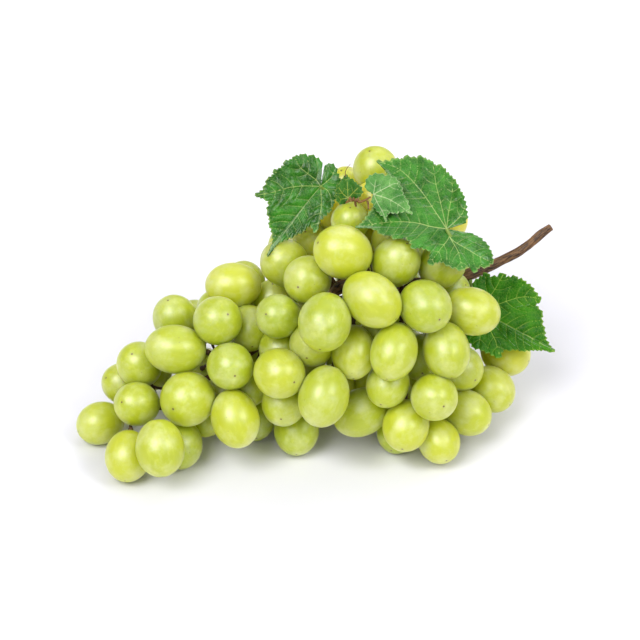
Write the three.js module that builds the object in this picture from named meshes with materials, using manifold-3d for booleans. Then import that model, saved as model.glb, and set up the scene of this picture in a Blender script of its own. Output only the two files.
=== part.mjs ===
// A bunch of white table grapes lying on its side, with its cut stalk, three large leaves
// and a small side shoot that carries two young leaves. Millimetres, +Z up, the surface at z = 0.
import * as THREE from "three";
import { mergeVertices } from "three/addons/utils/BufferGeometryUtils.js";
import Module from "manifold-3d";

const wasm = await Module();
wasm.setup();

// The bunch is laid out as it is seen from the front and above. A place is given as
// [across, down, behind]: across and down in steps of 1/2.25 mm, behind in millimetres away from the eye.
const sight = { tilt: 35, distance: 1500, height: 45, steps: 2.25, middle: 320 };
const shift = [2.016, 7.285];        // brings the middle of the finished part over the origin

const press = 0.9;                   // how far touching berries flatten into each other
const flatSpot = 0.35;               // depth of the flat under a berry that bears on the surface
const berryStemGap = 0.35;           // between a pedicel and its berry
const bladeThickness = 0.7;
const settleRounds = 240;

// Berries: across, down, width mm, length mm, turn of the free end (degrees from right, up positive),
// how far the free end tips to the eye, depth behind, branch
const seenBerries = [
  [101, 424, 19, 22, 200, 20, -2, "tip"],
  [137, 404, 19.5, 22, 170, 55, -14, "tip"],
  [127, 459, 19, 22, 265, 20, -14, "tip"],
  [160, 448, 21.5, 25.5, 275, 10, -28, "tip"],
  [180, 444, 20, 23, 270, 30, -10, "tip"],
  [123, 384.5, 18.5, 21, 160, 40, 0, "leftUpper"],
  [139.5, 365, 20, 22.5, 120, 60, -8, "leftUpper"],
  [176, 349, 21.5, 27.5, 175, 5, -20, "leftUpper"],
  [175.5, 318.5, 20, 22.5, 110, 40, -2, "leftUpper"],
  [188, 399, 24, 26, 215, 55, -26, "leftFront"],
  [230, 366, 20.5, 23, 300, 65, -28, "leftFront"],
  [235, 418.5, 21, 26.5, 285, 10, -26, "leftFront"],
  [253, 416, 20, 23, 280, 30, -10, "leftFront"],
  [206, 414, 19, 22, 250, 40, -10, "leftFront"],
  [249, 384, 19, 22, 250, 50, -14, "leftFront"],
  [217, 321, 21.5, 22.5, 30, 60, -20, "leftTop"],
  [214, 310, 18.5, 20.5, 120, 40, -2, "leftTop"],
  [235, 285, 21, 26, 180, 5, -6, "leftTop"],
  [252, 330, 19, 22, 280, 40, -16, "leftTop"],
  [279, 317, 19.5, 21.5, 170, 60, -24, "leftTop"],
  [273, 302, 19, 21, 90, 40, 0, "leftTop"],
  [279.5, 372.5, 22, 24, 330, 50, -34, "middleFront"],
  [324, 396, 22, 27.5, 255, 10, -38, "middleFront"],
  [296.5, 429, 20, 24, 270, 20, -16, "middleFront"],
  [284, 403, 19.5, 22, 260, 50, -16, "middleFront"],
  [280, 347, 19.5, 22, 250, 50, -18, "middleFront"],
  [312, 343, 20, 22, 250, 50, -22, "middleFront"],
  [308, 279, 21, 22, 220, 60, -24, "middleTop"],
  [283.5, 263, 21.5, 24, 150, 50, -8, "middleTop"],
  [325, 322, 23, 26.5, 260, 25, -42, "middleTop"],
  [312, 243, 20, 23, 120, 60, -4, "middleTop"],
  [343, 253, 23.5, 27, 160, 30, -38, "crown"],
  [332, 238, 17, 20, 120, 50, 6, "crown"],
  [350, 222, 17, 19, 90, 50, -22, "crown"],
  [366, 246, 18, 21, 60, 50, -5, "crown"],
  [335, 212, 17, 20, 110, 50, -7, "crown"],
  [372, 203, 18, 21, 80, 50, -9, "crown"],
  [347, 187, 17, 20, 110, 40, 14, "crown"],
  [376, 169.5, 20.5, 23, 110, 40, 3, "crown"],
  [371, 299, 22.5, 28.5, 320, 20, -44, "rightFront"],
  [352, 352, 19.5, 24.5, 270, 20, -30, "rightFront"],
  [394, 351.5, 20.5, 26.5, 255, 20, -42, "rightFront"],
  [383, 330, 20, 22, 270, 50, -24, "rightFront"],
  [388, 384, 19, 22, 250, 30, -28, "rightFront"],
  [396, 262, 21, 24, 60, 40, -30, "rightTop"],
  [394, 240, 20, 22, 70, 50, -12, "rightTop"],
  [442, 265, 20, 23, 40, 40, -16, "rightTop"],
  [448, 217, 19, 22, 60, 40, -8, "rightTop"],
  [425.5, 306, 22.5, 26, 315, 50, -42, "rightTop"],
  [449, 291, 17, 20, 20, 40, -12, "rightTop"],
  [471, 311, 21, 26.5, 345, 10, -26, "rightEnd"],
  [446, 352, 20.5, 26, 280, 20, -38, "rightEnd"],
  [460, 368, 20, 22, 320, 40, -16, "rightEnd"],
  [507, 353, 20.5, 23, 340, 20, 8, "rightEnd"],
  [491, 389, 20, 23, 320, 20, 4, "rightEnd"],
  [422, 357, 20, 22, 270, 50, -20, "rightEnd"],
  [362, 412, 21, 27, 205, 10, -24, "rightLow"],
  [406, 425.5, 20.5, 24, 260, 30, -28, "rightLow"],
  [398, 431, 18.5, 21, 250, 30, -8, "rightLow"],
  [434.5, 395.5, 20.5, 22, 315, 60, -36, "rightLow"],
  [439, 441, 18.5, 21, 290, 30, -18, "rightLow"],
  [466, 412, 20, 24, 330, 20, -10, "rightLow"],
];

// Berries round the far side and underneath: x mm, angle about the middle of the bunch
// (0 to the back, 90 up), distance from that middle, branch
const hiddenBerries = [
  [-77, 5, 20, "backLeft"], [-55, -38, 28, "backLeft"], [-56, 12, 30, "backLeft"],
  [-33, -52, 33, "backLeft"], [-32, -12, 34, "backLeft"], [-34, 28, 34, "backLeft"],
  [-9, -56, 38, "backMiddle"], [-9, -24, 41, "backMiddle"], [-10, 10, 42, "backMiddle"],
  [-2, 42, 41, "backMiddle"], [14, -56, 40, "backMiddle"], [14, -26, 44, "backMiddle"],
  [14, 4, 46, "backMiddle"], [13, 32, 50, "backMiddle"], [20, 60, 46, "backMiddle"],
  [38, -56, 40, "backRight"], [38, -26, 45, "backRight"], [37, 4, 46, "backRight"],
  [36, 32, 49, "backRight"], [42, 58, 44, "backRight"], [60, -40, 34, "backRight"],
  [60, -6, 37, "backRight"], [59, 28, 40, "backRight"], [66, 20, 16, "backRight"],
  [-45, -100, 30, "under"], [-22, -95, 34, "under"], [2, -95, 36, "under"],
  [25, -95, 36, "under"], [48, -90, 36, "under"], [62, -75, 20, "under"],
];
const hiddenSize = [20, 23];

// middle of the bunch, round which the hidden berries are set: across mm, up mm, behind mm
const middle = [[-90, -45, 0], [-68, -28, 0], [-38, -12, 0], [0, -5, 0], [40, -8, 4], [65, -12, 10]];

// Stalk, from the cut end through the bunch to its tip: across, down, behind, radius mm
const stalk = [
  [551, 227, 9, 1.75], [546, 230.5, 8.5, 1.65], [540, 234.5, 8, 2], [532, 242, 7.5, 1.65], [520, 251, 7, 1.65],
  [510, 256, 6.5, 1.65], [500, 261, 6, 1.75], [490, 266, 5, 1.9], [480, 271, 4, 2.4], [470, 274, 3, 2.8],
  [458, 280, 2, 2.4], [430, 283, -1, 2.2], [400, 281, -4, 2.1], [370, 281, -7, 2], [343, 283, -9, 2],
  [322, 297, -9, 1.9], [295, 322, -7, 1.8], [262, 345, -6, 1.6], [225, 368, -5, 1.5], [190, 388, -5, 1.3],
  [160, 404, -4, 1.1], [128, 420, -3, 0.9],
];

// where each branch leaves the stalk, as a number into the list above, and how far out it reaches
const branches = {
  rightTop: [11, 0.5], rightEnd: [11, 0.55], rightFront: [12, 0.5], rightLow: [12, 0.6], backRight: [12, 0.6],
  crown: [13, 0.6], middleTop: [14, 0.45], middleFront: [15, 0.55], backMiddle: [15, 0.6], under: [15, 0.5],
  leftTop: [17, 0.4], leftFront: [18, 0.5], backLeft: [18, 0.5], leftUpper: [19, 0.4], tip: [20, 0.3],
};

// Leaves: the outline runs from one side of the petiole's notch round to the other.
// depth: behind at the notch, then change per mm upward, per mm to the right, and by mm² from the notch
const leaves = {
  leaf_left: {
    notch: [320.5, 186.5], depth: [-22.5, 0.16, -0.04, -0.0012], wave: 0.8, colour: "#2f7030",
    outline: [
      [316, 184], [315, 178], [317, 172], [321, 165], [320, 160], [316, 158], [311, 155], [308, 157], [303, 154],
      [299, 156], [295, 156], [292, 159], [284.5, 161], [284, 165], [281, 168], [273, 170.5], [274, 174],
      [267.5, 178.5], [266, 184], [263, 190], [254.5, 195.5], [262, 198], [269, 200], [267, 210], [269, 217],
      [269, 225], [272, 233], [274, 240], [267.5, 257], [272, 246], [277, 243], [283, 240], [288, 238],
      [293, 236], [302, 232], [309, 225], [311, 223.5], [313, 229], [316, 233], [317, 226], [319, 220],
      [323, 217], [327, 213], [330, 212], [333, 205], [338, 192], [341, 181], [339, 178], [337, 173],
      [335.5, 167], [331, 164], [327, 165], [323, 168], [323, 173], [324, 181],
    ],
    petiole: [[320.3, 186.2, -22.9], [324, 189.5, -20.9], [330, 195, -20.6], [336.5, 198.5, -21.8], [342.6, 200.6, -25.2]],
    petioleRadius: 0.75,
  },
  leaf_centre: {
    notch: [446.5, 229], depth: [-37, 0.64, 0.15, 0], wave: 0.9, colour: "#33803a",
    outline: [
      [448, 226], [455, 225], [462, 224], [466, 220], [467, 215], [466, 205], [463, 195], [457, 184], [453, 178.5],
      [450, 175.5], [443.5, 168], [438, 164.5], [436.5, 167], [431, 161], [424, 158], [417.5, 156], [418, 159],
      [411, 157.5], [404.5, 156], [404, 159], [396, 158.5], [390, 161], [383, 162], [376, 161], [382, 165],
      [387, 172], [388, 184], [385, 195], [372, 210], [368, 215], [365, 220], [355, 228], [362, 226.5],
      [370, 227], [376, 229], [381, 234], [390, 235], [396, 239], [405, 237], [410, 240], [411.5, 248.5],
      [416, 247], [425, 249], [431, 250], [430, 258], [428.5, 265], [435, 263], [443, 262], [449, 266],
      [455, 268], [462, 270], [470, 266], [475, 273], [477, 269], [480, 266], [487, 267], [490, 264],
      [493.5, 262.5], [492, 254], [488, 245.5], [480, 238.5], [471, 234.5], [463, 233.5], [455, 235], [450, 234],
    ],
    petiole: [[446.5, 229, -37.6], [451, 237, -37.5], [458, 244, -34], [467, 250, -25], [474, 257, -12], [476.5, 265, -3]],
    petioleRadius: 1,
  },
  leaf_right: {
    notch: [482, 313], depth: [-8, 0.12, 0.12, -0.001], wave: 0.8, colour: "#3f8a26",
    outline: [
      [479, 303], [477, 292], [480, 281], [488, 273], [490, 277], [497, 277], [503, 273], [506, 277], [515, 276],
      [518, 279], [523, 280], [531, 286], [534, 291], [538, 296], [541.5, 299], [537, 303], [534.5, 305.5],
      [539, 309], [541.5, 314], [540, 318], [544, 333], [546, 340], [548.5, 345], [555, 352], [548, 350],
      [540, 350], [532, 350], [523, 351], [514, 349], [507, 350], [503, 348], [501, 353], [499.5, 358],
      [495, 356], [490, 353], [484, 351], [474, 348], [468, 341], [466, 333], [476, 324],
    ],
    petiole: [[482, 313, -8.6], [478, 304, -5], [473, 294, -2.5], [470.5, 284, 0.5], [470.3, 280.9, 2]],
    petioleRadius: 0.95,
  },
  young_leaf_small: {
    notch: [348, 198], depth: [-26, 0.12, 0, 0], fold: 0.5, wave: 0.4, colour: "#2c5f2a",
    outline: [
      [352, 198.5], [356, 197.5], [359, 196.5], [361, 195], [362, 190], [360, 186], [357.5, 184.5], [355, 182],
      [350, 179], [348, 177], [345.5, 174.5], [344.5, 177], [343, 178], [341.5, 180.5], [340, 183], [337, 188],
      [336, 193], [336, 198], [338, 202], [342, 204], [345, 201.5],
    ],
  },
  young_leaf_pale: {
    notch: [373.5, 194.5], depth: [-33, 0.75, -0.03, 0], fold: 0.25, wave: 0.5, colour: "#86a86a",
    outline: [
      [371, 192], [367, 190], [366, 184], [368, 178], [372, 175.5], [378, 174], [385, 176], [392, 177],
      [397, 180], [400, 185], [402, 191], [405, 198], [408, 204], [412, 215], [405, 211], [400, 211],
      [395, 213], [387, 213], [385.5, 222], [384, 216], [380, 213], [377, 209], [374, 205], [372.5, 200],
    ],
  },
};

// Side shoot: across, down, behind, radius mm
const shoot = [
  [346, 202.6, -27.8, 0.7], [350, 200.5, -28.8, 0.95], [355, 200.5, -29.8, 0.8], [360, 201.8, -31, 0.85],
  [366, 199.5, -32.2, 0.75], [370.5, 197, -32.8, 0.6],
];
const shootBuds = [[350, 198.8, -29, 1.1], [353.5, 199, -29.9, 0.9], [357.5, 200.2, -30.8, 1]];
const shootStub = [[355, 200.8, -29.5, 0.8], [355.5, 203.5, -29, 0.8], [356, 206.5, -28.4, 0.6]];
const shootTip = [[366.5, 199.4, -32.2, 0.6], [368, 203, -33.4, 0.6], [368.5, 209, -35, 0.4]];

// Places along the lines of sight
const tilt = THREE.MathUtils.degToRad(sight.tilt);
const right = new THREE.Vector3(1, 0, 0);
const up = new THREE.Vector3(0, Math.sin(tilt), Math.cos(tilt));
const away = new THREE.Vector3(0, Math.cos(tilt), -Math.sin(tilt));
const target = new THREE.Vector3(0, 0, sight.height);
const eye = target.clone().addScaledVector(away, -sight.distance);

function placeMm(across, upward, behind) {
  const onPlane = target.clone().addScaledVector(right, across).addScaledVector(up, upward);
  return onPlane.sub(eye).multiplyScalar((sight.distance + behind) / sight.distance).add(eye);
}

function place(across, down, behind) {
  return placeMm((across - sight.middle) / sight.steps, (sight.middle - down) / sight.steps, behind);
}

// distance from a berry's middle to the plane that touches it, facing along a unit vector
function reach(berry, direction) {
  const along = berry.axis.dot(direction);
  return Math.sqrt(berry.half ** 2 * along ** 2 + berry.radius ** 2 * (1 - along ** 2));
}

function middleAt(x) {
  let i = 0;
  while (i < middle.length - 2 && x > middle[i + 1][0]) i++;
  const part = (x - middle[i][0]) / (middle[i + 1][0] - middle[i][0]);
  const [, upward, behind] = middle[i].map((value, k) => value + (middle[i + 1][k] - value) * part);
  return placeMm(x, upward, behind);
}

// Berries at their first places
const berries = [];
for (const [across, down, width, length, turn, tip, behind, branch] of seenBerries) {
  const t = THREE.MathUtils.degToRad(turn);
  const p = THREE.MathUtils.degToRad(tip);
  const axis = right.clone().multiplyScalar(Math.cos(p) * Math.cos(t));
  axis.addScaledVector(up, Math.cos(p) * Math.sin(t)).addScaledVector(away, -Math.sin(p));
  const at = place(across, down, behind);
  const ray = at.clone().sub(eye).normalize();
  berries.push({ at, home: at.clone(), ray, axis, radius: width / 2, half: length / 2, branch });
}
for (const [x, angle, far, branch] of hiddenBerries) {
  const a = THREE.MathUtils.degToRad(angle);
  const axis = new THREE.Vector3(0, Math.cos(a), Math.sin(a));
  const at = middleAt(x).setX(x).addScaledVector(axis, far);
  at.z = Math.max(at.z, hiddenSize[0] / 2);
  berries.push({ at, home: at.clone(), ray: null, axis, radius: hiddenSize[0] / 2, half: hiddenSize[1] / 2, branch });
}

const stalkPoints = stalk.map(([across, down, behind]) => place(across, down, behind));

// the shortest set of links that joins all berries, by the width of the gap between them
function nearestLinks() {
  const joined = new Array(berries.length).fill(false);
  const best = berries.map(() => ({ gap: Infinity, from: 0 }));
  const links = [];
  let last = 0;
  joined[0] = true;
  for (let n = 1; n < berries.length; n++) {
    berries.forEach((berry, i) => {
      if (joined[i]) return;
      const direction = berry.at.clone().sub(berries[last].at);
      const gap = direction.length();
      direction.normalize();
      const open = gap - reach(berry, direction) - reach(berries[last], direction);
      if (open < best[i].gap) best[i] = { gap: open, from: last };
    });
    let next = -1;
    best.forEach((link, i) => {
      if (!joined[i] && (next < 0 || link.gap < best[next].gap)) next = i;
    });
    joined[next] = true;
    links.push([best[next].from, next]);
    last = next;
  }
  return links;
}

// Settling: berries that cross push each other off, linked ones close up, all keep off the stalk
// and the surface, and the ones in sight stay on their line of sight
let links = [];
for (let round = 0; round < settleRounds; round++) {
  if (round % 20 === 0) links = nearestLinks();
  const moves = berries.map(() => new THREE.Vector3());
  for (let i = 0; i < berries.length; i++) {
    for (let j = i + 1; j < berries.length; j++) {
      const direction = berries[j].at.clone().sub(berries[i].at);
      const gap = direction.length();
      if (gap > 32) continue;
      direction.divideScalar(gap);
      const short = reach(berries[i], direction) + reach(berries[j], direction) - press - gap;
      if (short <= 0) continue;
      moves[i].addScaledVector(direction, -0.3 * short);
      moves[j].addScaledVector(direction, 0.3 * short);
    }
  }
  for (const [i, j] of links) {
    const direction = berries[j].at.clone().sub(berries[i].at);
    const gap = direction.length();
    direction.divideScalar(gap);
    const open = gap - reach(berries[i], direction) - reach(berries[j], direction) + press;
    if (open <= 0) continue;
    moves[i].addScaledVector(direction, 0.25 * open);
    moves[j].addScaledVector(direction, -0.25 * open);
  }
  berries.forEach((berry, i) => {
    for (let k = 0; k < stalk.length - 1; k++) {
      const near = new THREE.Line3(stalkPoints[k], stalkPoints[k + 1])
        .closestPointToPoint(berry.at, true, new THREE.Vector3());
      const direction = berry.at.clone().sub(near);
      const gap = direction.length();
      direction.divideScalar(gap);
      const short = reach(berry, direction) + stalk[k][3] + 0.8 - gap;
      if (short > 0) moves[i].addScaledVector(direction, 0.5 * short);
    }
    berry.at.add(moves[i]);
    if (berry.ray) {
      const off = berry.at.clone().sub(berry.home);
      off.addScaledVector(berry.ray, -off.dot(berry.ray));
      berry.at.addScaledVector(off, -0.25);
    }
    const lowest = reach(berry, new THREE.Vector3(0, 0, 1)) - flatSpot;
    if (berry.at.z < lowest) {
      if (berry.ray) berry.at.addScaledVector(berry.ray, Math.max((lowest - berry.at.z) / berry.ray.z, -2));
      berry.at.z = Math.max(berry.at.z, lowest);
    }
  });
}

// Solids
function solid(geometry) {
  const plain = geometry.clone();
  plain.deleteAttribute("normal");
  plain.deleteAttribute("uv");
  const merged = mergeVertices(plain, 1e-4);
  return new wasm.Manifold(new wasm.Mesh({
    numProp: 3,
    vertProperties: new Float32Array(merged.attributes.position.array),
    triVerts: new Uint32Array(merged.index.array),
  }));
}

function joined(solids) {
  let list = solids;
  while (list.length > 1) {
    const next = [];
    for (let i = 0; i < list.length; i += 2) {
      next.push(i + 1 < list.length ? list[i].add(list[i + 1]) : list[i]);
    }
    list = next;
  }
  return list[0];
}

// the biggest body of a solid; loose scraps are dropped
function mainBody(whole) {
  const bodies = whole.decompose();
  return bodies.reduce((big, body) => (body.volume() > big.volume() ? body : big));
}

function mesh(name, whole, colour, roughness) {
  const { vertProperties, triVerts, numProp } = whole.getMesh();
  const positions = new Float32Array((vertProperties.length / numProp) * 3);
  for (let i = 0; i < positions.length / 3; i++) {
    for (let k = 0; k < 3; k++) positions[3 * i + k] = vertProperties[i * numProp + k];
  }
  const geometry = new THREE.BufferGeometry();
  geometry.setAttribute("position", new THREE.BufferAttribute(positions, 3));
  geometry.setIndex(new THREE.BufferAttribute(new Uint32Array(triVerts), 1));
  geometry.computeVertexNormals();
  const made = new THREE.Mesh(geometry, new THREE.MeshStandardMaterial({ color: colour, roughness, metalness: 0 }));
  made.name = name;
  return made;
}

// a berry as an 80-sided ball stretched along its axis, at the volume of the smooth one
const ball = new THREE.IcosahedronGeometry(1, 1);
const ballVolume = solid(ball).volume();
const fill = Math.cbrt((4 / 3) * Math.PI / ballVolume);

function berrySolid(berry, extra) {
  const wide = (berry.radius + extra) * fill;
  const long = (berry.half + extra) * fill;
  const turned = new THREE.Quaternion().setFromUnitVectors(new THREE.Vector3(0, 0, 1), berry.axis);
  const matrix = new THREE.Matrix4().compose(berry.at, turned, new THREE.Vector3(wide, wide, long));
  return solid(ball.clone().applyMatrix4(matrix));
}

// a round limb along a curve, its radius given at each point
function limb(points, radii, sides, steps) {
  const curve = new THREE.CatmullRomCurve3(points, false, "centripetal");
  const frames = curve.computeFrenetFrames(steps, false);
  const tube = new THREE.CylinderGeometry(1, 1, 1, sides, steps);
  const position = tube.attributes.position;
  for (let i = 0; i < position.count; i++) {
    const part = position.getY(i) + 0.5;
    const k = Math.round(part * steps);
    const onCurve = (points.length - 1) * curve.getUtoTmapping(part);
    const low = Math.min(Math.floor(onCurve), points.length - 2);
    const radius = radii[low] + (radii[low + 1] - radii[low]) * (onCurve - low);
    const at = curve.getPointAt(part);
    at.addScaledVector(frames.normals[k], -position.getX(i) * radius);
    at.addScaledVector(frames.binormals[k], position.getZ(i) * radius);
    position.setXYZ(i, at.x, at.y, at.z);
  }
  const made = solid(tube);
  return made.volume() > 0 ? made : solid(flipped(tube));
}

function flipped(geometry) {
  const turned = geometry.clone();
  const index = turned.index.array;
  for (let i = 0; i < index.length; i += 3) [index[i], index[i + 1]] = [index[i + 1], index[i]];
  return turned;
}

function limbSeen(rows, sides, steps) {
  return limb(rows.map(([a, d, b]) => place(a, d, b)), rows.map((row) => row[3]), sides, steps);
}

// Leaf blade: rings of the outline shrunk to the notch, the same triangles on both faces
const rings = [0.55, 1];

function bladeDepth(leaf, across, down) {
  const x = (across - leaf.notch[0]) / sight.steps;
  const y = (leaf.notch[1] - down) / sight.steps;
  const [start, rise, side, cup] = leaf.depth;
  const turn = Math.atan2(y, x);
  const far = Math.hypot(x, y);
  const folded = leaf.fold ? leaf.fold * Math.abs(x) * Math.min(far / 4, 1) : 0;
  return start + rise * y + side * x + cup * far * far + leaf.wave * Math.sin(5 * turn) * Math.min(far / 20, 1) - folded;
}

function blade(leaf) {
  const count = leaf.outline.length;
  const seen = [leaf.notch];
  for (const ring of rings) {
    for (const [across, down] of leaf.outline) {
      seen.push([leaf.notch[0] + (across - leaf.notch[0]) * ring, leaf.notch[1] + (down - leaf.notch[1]) * ring]);
    }
  }
  const front = [];
  const back = [];
  for (const [across, down] of seen) {
    const at = place(across, down, bladeDepth(leaf, across, down));
    const acrossStep = place(across + 1, down, bladeDepth(leaf, across + 1, down)).sub(at);
    const downStep = place(across, down + 1, bladeDepth(leaf, across, down + 1)).sub(at);
    const normal = downStep.cross(acrossStep).normalize();
    front.push(at.clone().addScaledVector(normal, bladeThickness / 2));
    back.push(at.clone().addScaledVector(normal, -bladeThickness / 2));
  }
  const faces = [];
  for (let i = 0; i < count - 1; i++) {
    faces.push([0, 1 + i, 2 + i]);
    for (let r = 0; r < rings.length - 1; r++) {
      const inner = 1 + r * count + i;
      const outer = inner + count;
      faces.push([inner, outer, outer + 1], [inner, outer + 1, inner + 1]);
    }
  }
  const edge = [0];
  for (let r = 0; r < rings.length; r++) edge.push(1 + r * count);
  const rim = 1 + (rings.length - 1) * count;
  for (let i = 1; i < count; i++) edge.push(rim + i);
  for (let r = rings.length - 2; r >= 0; r--) edge.push(r * count + count);
  const index = [];
  const total = front.length;
  for (const [a, b, c] of faces) index.push(a, b, c, total + a, total + c, total + b);
  edge.forEach((a, i) => {
    const b = edge[(i + 1) % edge.length];
    index.push(b, a, total + a, b, total + a, total + b);
  });
  const geometry = new THREE.BufferGeometry();
  const flat = [...front, ...back].flatMap((v) => [v.x, v.y, v.z]);
  geometry.setAttribute("position", new THREE.Float32BufferAttribute(flat, 3));
  geometry.setIndex(index);
  const made = solid(geometry);
  return made.volume() > 0 ? made : solid(flipped(geometry));
}

// Berries, fused where they press, with flats where they bear on the surface
const below = solid(new THREE.BoxGeometry(600, 600, 40).translate(0, 0, -20));
const berryBody = mainBody(joined(berries.map((berry) => berrySolid(berry, 0))).subtract(below));

// Stalk, branches and pedicels. A pedicel leaves its branch at the place that gives it the clearest way,
// is left out where other berries close every way, and all are cut clear of every berry
function openWay(from, to, own) {
  const line = new THREE.Line3(from, to);
  return berries.every((berry) => {
    if (berry === own) return true;
    const near = line.closestPointToPoint(berry.at, true, new THREE.Vector3());
    const direction = berry.at.clone().sub(near);
    const gap = direction.length();
    return gap > reach(berry, direction.divideScalar(gap)) + 1.2;
  });
}

const stems = [limb(stalkPoints, stalk.map((row) => row[3]), 6, 17)];
for (const [name, [start, far]] of Object.entries(branches)) {
  const own = berries.filter((berry) => berry.branch === name);
  const bases = own.map((berry) => berry.at.clone().addScaledVector(berry.axis, -berry.half));
  const mean = bases.reduce((sum, base) => sum.add(base), new THREE.Vector3()).divideScalar(bases.length);
  const root = stalkPoints[start];
  const tip = root.clone().lerp(mean, far);
  stems.push(limb([root, tip], [1.5, 1.1], 4, 1));
  own.forEach((berry, i) => {
    const ways = [0, 1, 2, 3, 4, 5].map((k) => root.clone().lerp(tip, 1 - (k + (i % 4) / 4) / 6));
    if (start > 0) ways.push(stalkPoints[start - 1], stalkPoints[start + 1]);
    ways.sort((a, b) => a.distanceTo(bases[i]) - b.distanceTo(bases[i]));
    const from = ways.find((way) => openWay(way, bases[i], berry));
    const end = berry.at.clone().addScaledVector(berry.axis, -(berry.half + berryStemGap) * fill - 0.1);
    if (from) stems.push(limb([from, end], [0.75, 1], 3, 1));
  });
}
const clearance = joined(berries.map((berry) => berrySolid(berry, berryStemGap)));
const stemBody = mainBody(joined(stems).subtract(clearance));

// Side shoot
const shootBody = joined([
  limbSeen(shoot, 5, 5),
  limbSeen(shootStub, 5, 2),
  limbSeen(shootTip, 5, 2),
  ...shootBuds.map(([a, d, b, r]) => solid(new THREE.IcosahedronGeometry(r, 0).translate(...place(a, d, b).toArray()))),
]);

const bunch = new THREE.Group();
bunch.add(mesh("berries", berryBody, "#b9cf45", 0.35));
bunch.add(mesh("stalk", stemBody, "#5b3a20", 0.75));
bunch.add(mesh("side_shoot", mainBody(shootBody), "#7a4630", 0.7));
for (const [name, leaf] of Object.entries(leaves)) {
  let body = blade(leaf);
  if (leaf.petiole) {
    const points = leaf.petiole.map(([a, d, b]) => place(a, d, b));
    body = body.add(limb(points, points.map(() => leaf.petioleRadius), 6, points.length));
  }
  bunch.add(mesh(name, mainBody(body), leaf.colour, 0.55));
}
bunch.position.set(shift[0], shift[1], 0);

export default bunch;
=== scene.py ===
import math

import bmesh
import bpy
import numpy as np
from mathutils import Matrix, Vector, noise


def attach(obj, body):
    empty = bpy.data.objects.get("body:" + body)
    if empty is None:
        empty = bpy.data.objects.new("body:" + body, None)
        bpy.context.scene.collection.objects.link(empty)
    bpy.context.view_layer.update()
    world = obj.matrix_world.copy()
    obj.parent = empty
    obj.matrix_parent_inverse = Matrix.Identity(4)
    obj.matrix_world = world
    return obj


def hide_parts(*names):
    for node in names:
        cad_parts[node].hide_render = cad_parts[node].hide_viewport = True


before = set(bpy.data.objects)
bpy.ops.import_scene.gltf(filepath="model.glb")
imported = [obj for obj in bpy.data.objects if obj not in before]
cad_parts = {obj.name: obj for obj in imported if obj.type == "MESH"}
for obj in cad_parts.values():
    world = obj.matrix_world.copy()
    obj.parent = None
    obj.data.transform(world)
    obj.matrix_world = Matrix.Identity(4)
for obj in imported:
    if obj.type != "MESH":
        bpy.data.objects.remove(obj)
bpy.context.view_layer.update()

# The bunch is laid out as it is seen from the front and above: (across, down, behind),
# across and down in steps of 1/2.25 mm, behind in mm away from the eye. The layout is in mm.
sight = {
    "tilt": 35,               # degrees that the eye looks down
    "distance": 1500,         # from the eye to the target
    "height": 45,             # of the target over the surface
    "steps": 2.25,            # steps in a millimetre at the target
    "middle": 320,            # the target, across and down
    "shift": (2.016, 7.285),  # brings the middle of the bunch over the origin
    "frame": 640,             # steps that the camera takes in
    "sensor": 36,
    "farthest": 20,           # m that the camera sees
}

tilt = math.radians(sight["tilt"])
right = np.array([1.0, 0.0, 0.0])
up = np.array([0.0, math.sin(tilt), math.cos(tilt)])
away = np.array([0.0, math.cos(tilt), -math.sin(tilt)])
target = np.array([0.0, 0.0, sight["height"]])
eye = target - away * sight["distance"]


def placeMm(across, upward, behind):
    onPlane = target + np.multiply.outer(across, right) + np.multiply.outer(upward, up)
    reachOut = (sight["distance"] + np.asarray(behind, float)) / sight["distance"]
    return eye + (onPlane - eye) * np.asarray(reachOut)[..., None]


def place(across, down, behind):
    across = (np.asarray(across, float) - sight["middle"]) / sight["steps"]
    upward = (sight["middle"] - np.asarray(down, float)) / sight["steps"]
    return placeMm(across, upward, behind)


def toMetres(points):
    return (np.asarray(points) + np.array([*sight["shift"], 0.0])) * 0.001


# sRGB hex to the linear colour that shaders use
def toLinear(hexColour):
    parts = [int(hexColour[i:i + 2], 16) / 255 for i in (1, 3, 5)]
    return tuple(p / 12.92 if p <= 0.04045 else ((p + 0.055) / 1.055) ** 2.4 for p in parts) + (1.0,)


# a node with its settings, and its sockets by name or by place, as i0, i1: each takes a value, a hex
# colour, or a link from a socket or from the output of another node
def addNode(material, kind, settings=None, **sockets):
    node = material.node_tree.nodes.new("ShaderNode" + kind)
    for name, value in (settings or {}).items():
        setattr(node, name, value)
    for name, value in sockets.items():
        key = int(name[1:]) if name[0] == "i" and name[1:].isdigit() else name.replace("_", " ")
        socket = node.inputs[key]
        if isinstance(value, bpy.types.Node):
            value = next(output for output in value.outputs if output.enabled)
        if isinstance(value, bpy.types.NodeSocket):
            material.node_tree.links.new(value, socket)
        else:
            socket.default_value = toLinear(value) if isinstance(value, str) else value
    return node


colourMix = {"data_type": "RGBA"}


def newMaterial(name):
    material = bpy.data.materials.new(name)
    material.use_nodes = True
    material.node_tree.nodes.clear()
    return material


def finishMaterial(material, shader):
    addNode(material, "OutputMaterial", Surface=shader)
    return material


def addPiece(name, bm, materials, node):
    mesh = bpy.data.meshes.new(name)
    bm.to_mesh(mesh)
    bm.free()
    for polygon in mesh.polygons:
        polygon.use_smooth = True
    piece = bpy.data.objects.new(name, mesh)
    bpy.context.scene.collection.objects.link(piece)
    for material in materials:
        mesh.materials.append(material)
    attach(piece, "root")
    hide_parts(node)
    return piece


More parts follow.
